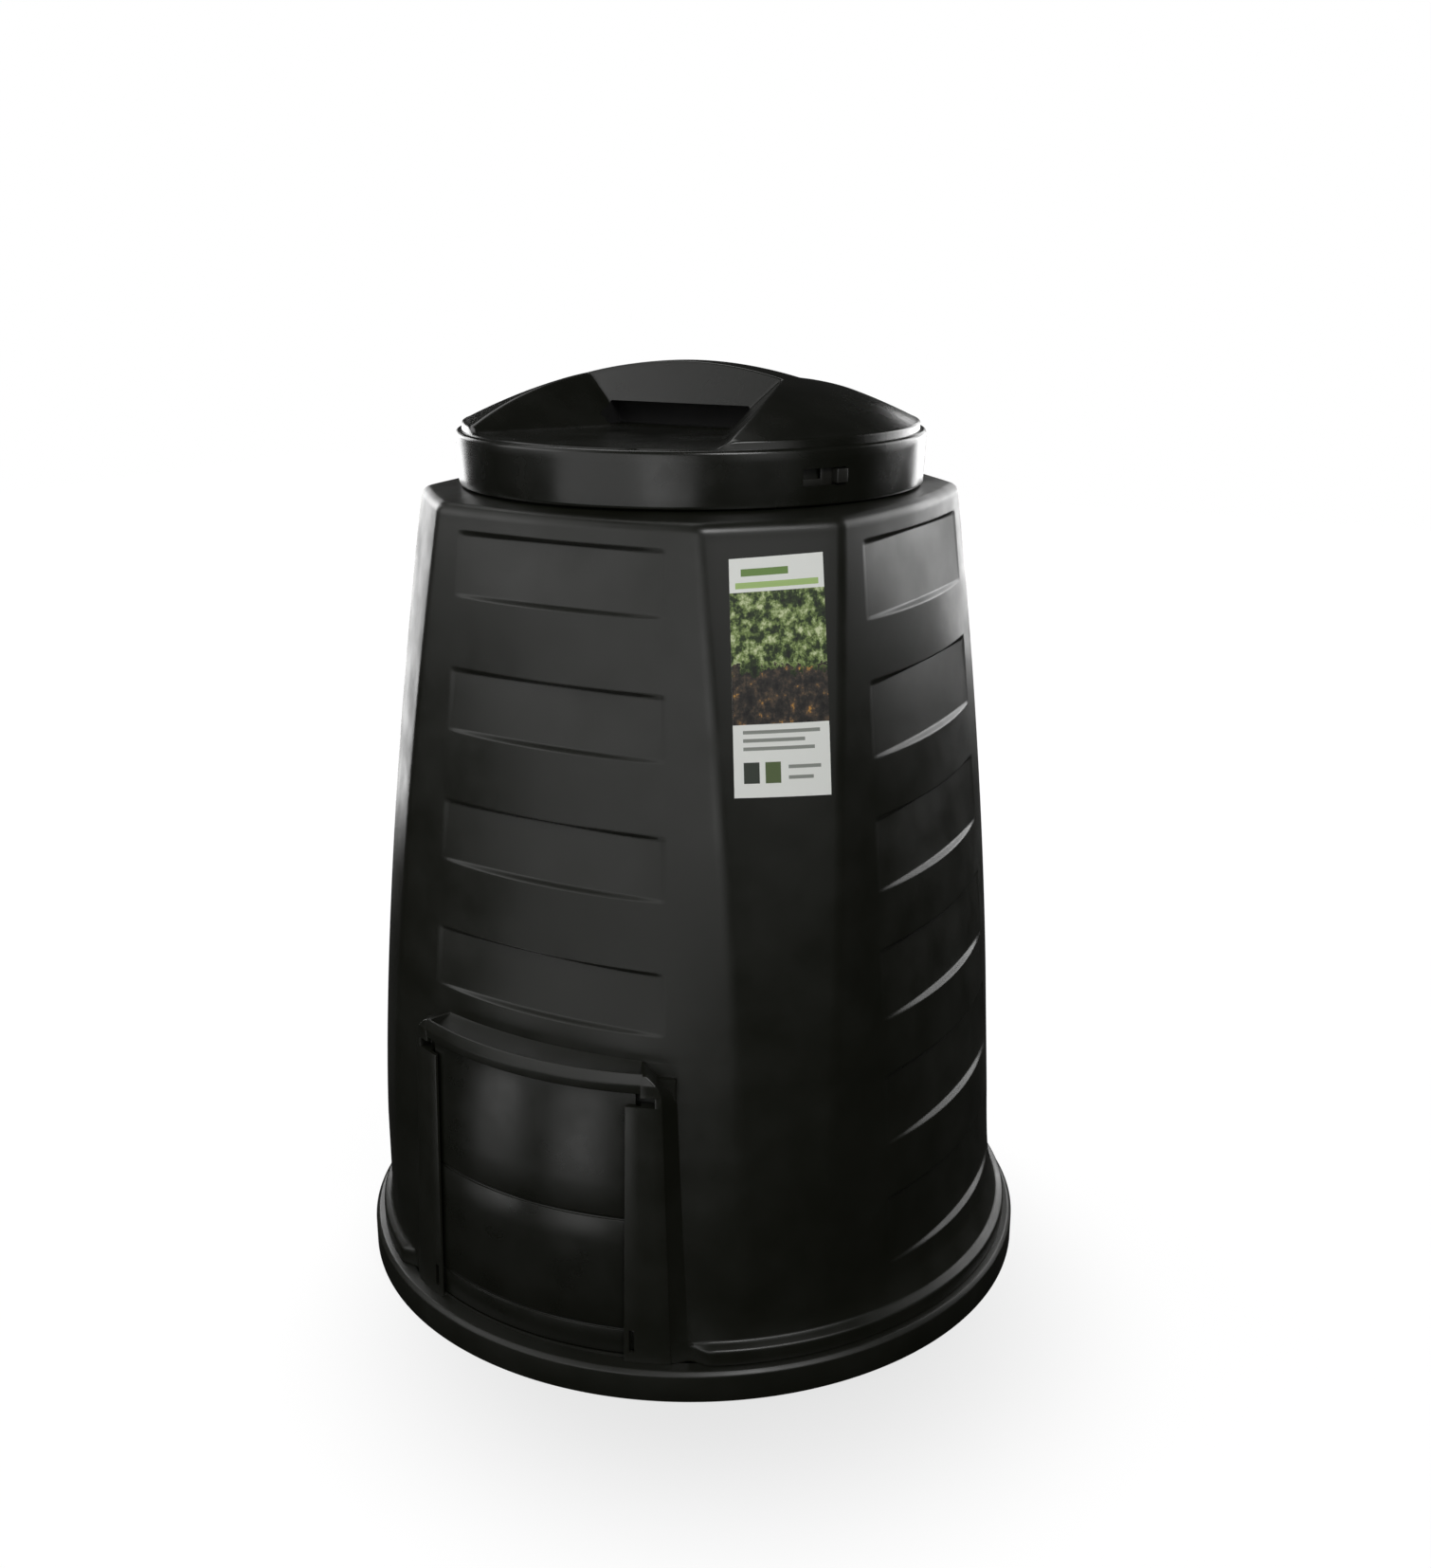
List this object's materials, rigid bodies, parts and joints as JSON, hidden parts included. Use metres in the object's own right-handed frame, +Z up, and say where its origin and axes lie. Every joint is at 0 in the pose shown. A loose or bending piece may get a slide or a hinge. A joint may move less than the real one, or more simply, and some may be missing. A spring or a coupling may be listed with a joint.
{
  "type": "compost bin with lid",
  "caption": "Barrel-shaped garden compost container with a lift-off domed lid, an upright sliding hatch door and a ground ring.",
  "frame": {"origin": "on the ground at the centre of the ground ring", "axes": "+Z up along the bin's axis, -Y out of the hatch"},
  "size_m": [0.74, 0.74, 0.975],
  "materials": {
    "wall_polyethylene": "satin moulded black",
    "ring_polyethylene": "satin moulded black",
    "door_polyethylene": "smooth moulded black",
    "lid_polyethylene": "satin moulded black",
    "latch_polyethylene": "satin moulded black",
    "label_film": "printed film"
  },
  "bodies": {
    "bin": {"ground_ring": "ring_polyethylene", "container": "wall_polyethylene"},
    "door": {"hatch_door": "door_polyethylene"},
    "lid_body": {"lid": "lid_polyethylene"},
    "latch_front": {"lid_latch_front": "latch_polyethylene"},
    "latch_rear": {"lid_latch_rear": "latch_polyethylene"}
  },
  "joints": [
    {"name": "door_slide", "type": "slide", "parent": "bin", "child": "door", "axis": [0, 0.0356, 0.9994], "range_m": [0, 0.25]},
    {"name": "lid_lift", "type": "slide", "parent": "bin", "child": "lid_body", "axis": [0, 0, 1], "range_m": [0, 0.12]},
    {"name": "latch_front_turn", "type": "hinge", "parent": "lid_body", "child": "latch_front", "pos_m": [0, 0, 0.882], "axis": [0, 0, -1], "range_deg": [0, 8.2]},
    {"name": "latch_rear_turn", "type": "hinge", "parent": "lid_body", "child": "latch_rear", "pos_m": [0, 0, 0.882], "axis": [0, 0, -1], "range_deg": [0, 8.2]}
  ]
}
